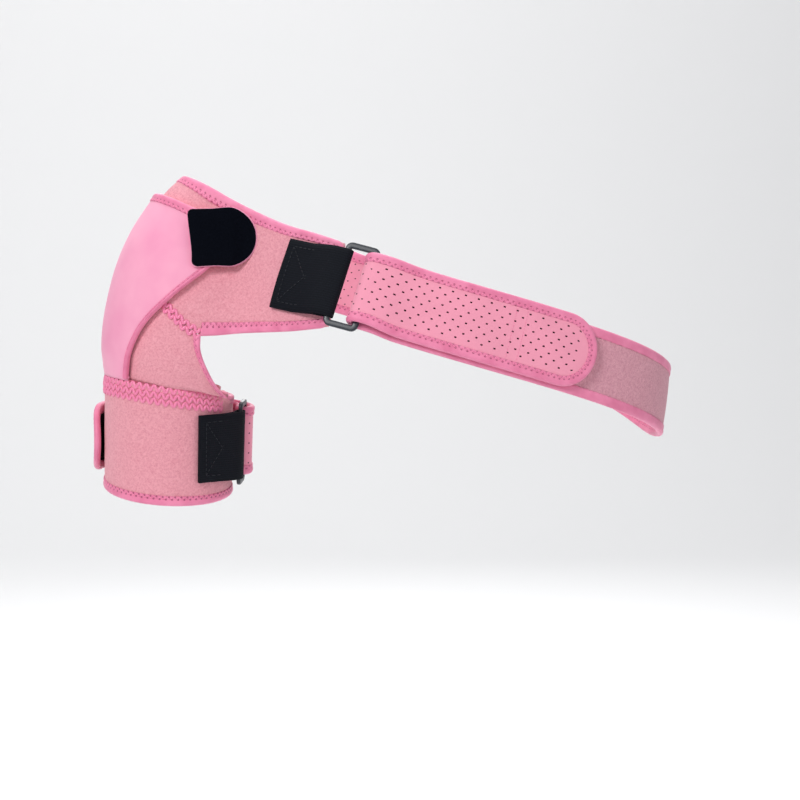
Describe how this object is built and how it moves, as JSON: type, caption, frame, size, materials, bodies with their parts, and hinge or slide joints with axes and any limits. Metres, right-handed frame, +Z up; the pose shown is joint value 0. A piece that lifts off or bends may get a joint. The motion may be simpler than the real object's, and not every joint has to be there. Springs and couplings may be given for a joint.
{
  "type": "shoulder brace",
  "caption": "Worn foam-cloth shoulder brace: panel over the shoulder, short arm sleeve, outer flap, and a chest strap and an arm strap that fold back through plastic loops.",
  "frame": {"origin": "where the brace sits on top of the shoulder, at the mount worn_on_shoulder", "axes": "+Z up, -Y to the front of the wearer, +X along the chest strap away from the arm"},
  "size_m": [0.4398, 0.2384, 0.2448],
  "materials": {
    "fleece": "short looped pile on foam cloth, matt salmon pink",
    "smooth_cloth": "smooth knitted nylon face on foam cloth, light pink",
    "perforated_lining": "smooth pink foam cloth with rows of small holes",
    "binding": "folded elastic tape with a zigzag stitch, pink",
    "hook_patch": "black hook tape",
    "webbing": "ribbed black webbing with a sewn box and cross",
    "ring_plastic": "moulded dark grey plastic"
  },
  "bodies": {
    "root": {"shoulder_panel": "fleece", "panel_binding": "binding", "cap_panel": "fleece", "armhole_binding_front": "binding", "armhole_binding_back": "binding", "arm_sleeve": "fleece", "hem_binding": "binding", "armpit_binding": "binding", "shoulder_flap": "smooth_cloth", "flap_binding": "binding", "flap_tab": "hook_patch", "chest_ring": "ring_plastic", "chest_webbing": "webbing", "chest_strap": "perforated_lining", "chest_strap_binding": "binding", "chest_hook": "hook_patch", "arm_ring": "ring_plastic", "arm_webbing": "webbing", "arm_strap": "perforated_lining", "arm_strap_binding": "binding", "arm_hook": "hook_patch"}
  },
  "joints": []
}
